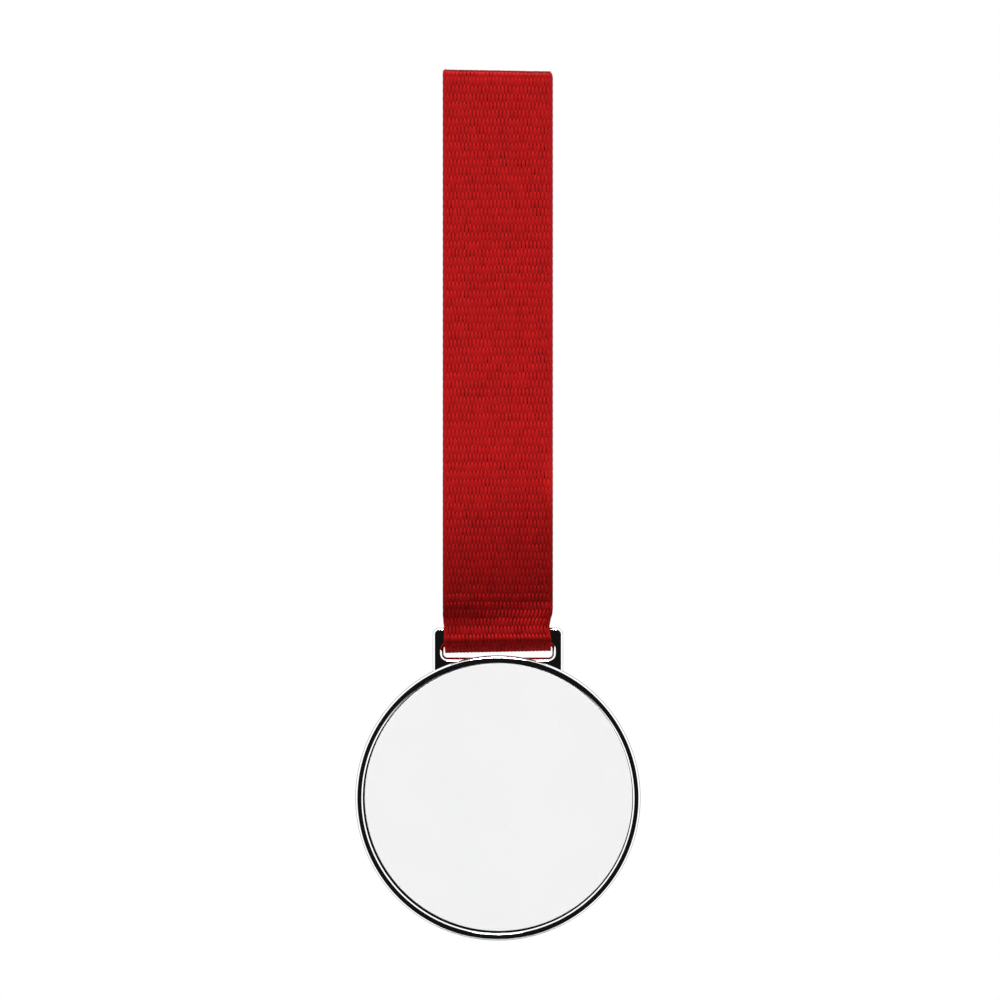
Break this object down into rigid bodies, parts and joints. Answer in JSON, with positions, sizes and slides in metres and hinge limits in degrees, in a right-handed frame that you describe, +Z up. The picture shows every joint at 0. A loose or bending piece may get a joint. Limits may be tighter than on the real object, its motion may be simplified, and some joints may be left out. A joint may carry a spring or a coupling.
{
  "type": "finisher medal",
  "caption": "Round chromed sports medal with a white print insert, swinging on the bar of its ribbon lug from a folded red webbing neck ribbon.",
  "frame": {"origin": "the hanging point: the middle of the topmost fold of the ribbon", "axes": "+Z up, the way the medal hangs; -Y is the way the medal's face looks; +X runs to the right of someone facing the medal"},
  "size_m": [0.065, 0.0103, 0.1983],
  "materials": {
    "medal_casting": "polished",
    "adhesive_disc": "matte",
    "insert_plate": "white satin print coat",
    "ribbon": "coarse woven webbing",
    "thread": "twisted thread"
  },
  "bodies": {
    "ribbon": {"ribbon": "ribbon", "needle_thread": "thread", "bobbin_thread": "thread"},
    "medal": {"medal_casting": "medal_casting", "adhesive_disc": "adhesive_disc", "insert_plate": "insert_plate"}
  },
  "joints": [
    {"name": "medal_swing", "type": "hinge", "parent": "ribbon", "child": "medal", "pos_m": [0, 0.0034, -0.129], "axis": [1, 0, 0], "range_deg": [-90, 90]}
  ]
}
